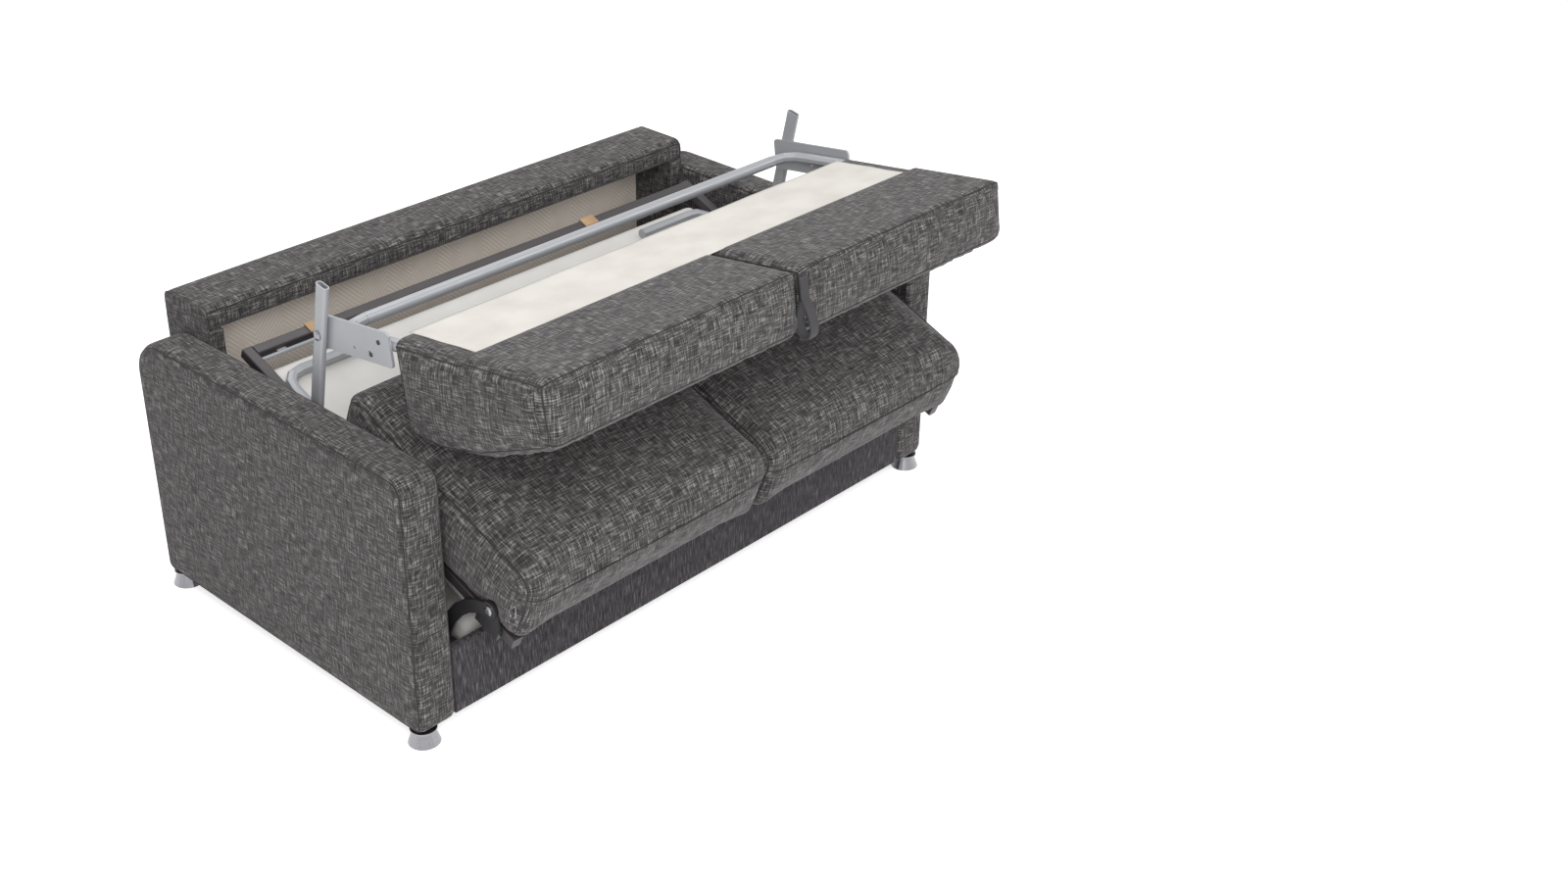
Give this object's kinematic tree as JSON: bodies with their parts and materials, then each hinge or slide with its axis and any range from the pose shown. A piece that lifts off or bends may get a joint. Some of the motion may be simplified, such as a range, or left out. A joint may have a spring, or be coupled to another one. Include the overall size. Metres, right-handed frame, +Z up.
{
  "type": "sleeper sofa",
  "caption": "Two-seat sleeper sofa caught half open: its tilted seat and back flip forward on pivots, and a mattress section rises on links from the box.",
  "frame": {"origin": "on the floor, midway between the arms and midway along them", "axes": "+X runs along the width to the right in the picture, +Y to the rear and +Z up; the bed opens towards -Y"},
  "size_m": [1.65, 1.2305, 0.9021],
  "materials": {
    "charcoal_weave": "coarse melange weave",
    "dark_cloth": "matt",
    "liner_cloth": "matt, faint chevron",
    "mattress_ticking": "matt",
    "backing_cloth": "matt",
    "bright_steel": "bright",
    "silver_paint": "satin",
    "grey_paint": "satin",
    "black_paint": "satin",
    "slat_wood": "matt",
    "tan_webbing": "matt"
  },
  "bodies": {
    "base": {"arm_left": "charcoal_weave", "arm_right": "charcoal_weave", "foot_front_left": "bright_steel", "foot_front_right": "bright_steel", "foot_rear_left": "bright_steel", "foot_rear_right": "bright_steel", "back_top_rail": "charcoal_weave", "back_rear_panel": "dark_cloth", "back_liner": "liner_cloth", "front_panel": "dark_cloth", "side_rail_left": "black_paint", "side_rail_right": "black_paint", "front_cross_rail": "black_paint", "rear_cross_rail": "black_paint", "gooseneck_left": "black_paint", "gooseneck_right": "black_paint", "flip_pin_left": "bright_steel", "flip_pin_right": "bright_steel"},
    "seat_unit": {"seat_rail_left": "grey_paint", "seat_rail_right": "grey_paint", "seat_cross_front": "grey_paint", "seat_cross_middle": "grey_paint", "seat_cross_rear": "grey_paint", "seat_slat_1": "slat_wood", "seat_slat_2": "slat_wood", "retaining_rod": "silver_paint", "corner_brace_left": "silver_paint", "corner_brace_right": "silver_paint", "seat_plate_left": "black_paint", "seat_plate_right": "black_paint", "strap_left": "tan_webbing", "strap_right": "tan_webbing", "seat_cushion_left": "charcoal_weave", "seat_cushion_right": "charcoal_weave", "flip_mattress": "mattress_ticking", "raise_pin_left": "bright_steel", "raise_pin_right": "bright_steel"},
    "leg_unit": {"leg_left": "silver_paint", "leg_right": "silver_paint", "tilt_pin_left": "bright_steel", "tilt_pin_right": "bright_steel"},
    "back_unit": {"back_cross_tube": "bright_steel", "back_side_tube_left": "bright_steel", "back_side_tube_right": "bright_steel", "back_plate_left": "silver_paint", "back_plate_right": "silver_paint", "back_panel": "backing_cloth", "back_cushion_left": "charcoal_weave", "back_cushion_right": "charcoal_weave", "pull_strap": "dark_cloth"},
    "head_section": {"head_rail_left": "grey_paint", "head_rail_right": "grey_paint", "head_cross_front": "grey_paint", "head_cross_rear": "grey_paint", "head_mattress": "mattress_ticking"},
    "front_links": {"front_link_left": "silver_paint", "front_link_right": "silver_paint"},
    "rear_links": {"rear_link_left": "silver_paint", "rear_link_right": "silver_paint"}
  },
  "joints": [
    {"name": "seat_flip", "type": "hinge", "parent": "base", "child": "seat_unit", "pos_m": [0, -0.56, 0.345], "axis": [1, 0, 0], "range_deg": [-22, 158]},
    {"name": "back_raise", "type": "hinge", "parent": "seat_unit", "child": "leg_unit", "pos_m": [0, -0.14266, 0.48126], "axis": [1, 0, 0], "range_deg": [-60, 0]},
    {"name": "back_tilt", "type": "hinge", "parent": "leg_unit", "child": "back_unit", "pos_m": [0, -0.07235, 0.78154], "axis": [1, 0, 0], "range_deg": [-4, 23], "deforming": ["back_cushion_left", "back_cushion_right"]},
    {"name": "front_link_swing", "type": "hinge", "parent": "base", "child": "front_links", "pos_m": [0, -0.41597, 0.14388], "axis": [1, 0, 0], "range_deg": [-10, 60]},
    {"name": "rear_link_swing", "type": "hinge", "parent": "base", "child": "rear_links", "pos_m": [0, 0.01402, 0.14388], "axis": [1, 0, 0], "range_deg": [-10, 60]},
    {"name": "head_level", "type": "hinge", "parent": "front_links", "child": "head_section", "pos_m": [0, -0.116, 0.14], "axis": [1, 0, 0], "range_deg": [-60, 10]}
  ],
  "couplings": [
    {"joint": "back_tilt", "follows": "seat_flip", "ratio": 0.1418},
    {"joint": "front_link_swing", "follows": "seat_flip", "ratio": 0.3711},
    {"joint": "rear_link_swing", "follows": "seat_flip", "ratio": 0.3711},
    {"joint": "head_level", "follows": "seat_flip", "ratio": -0.3711}
  ]
}
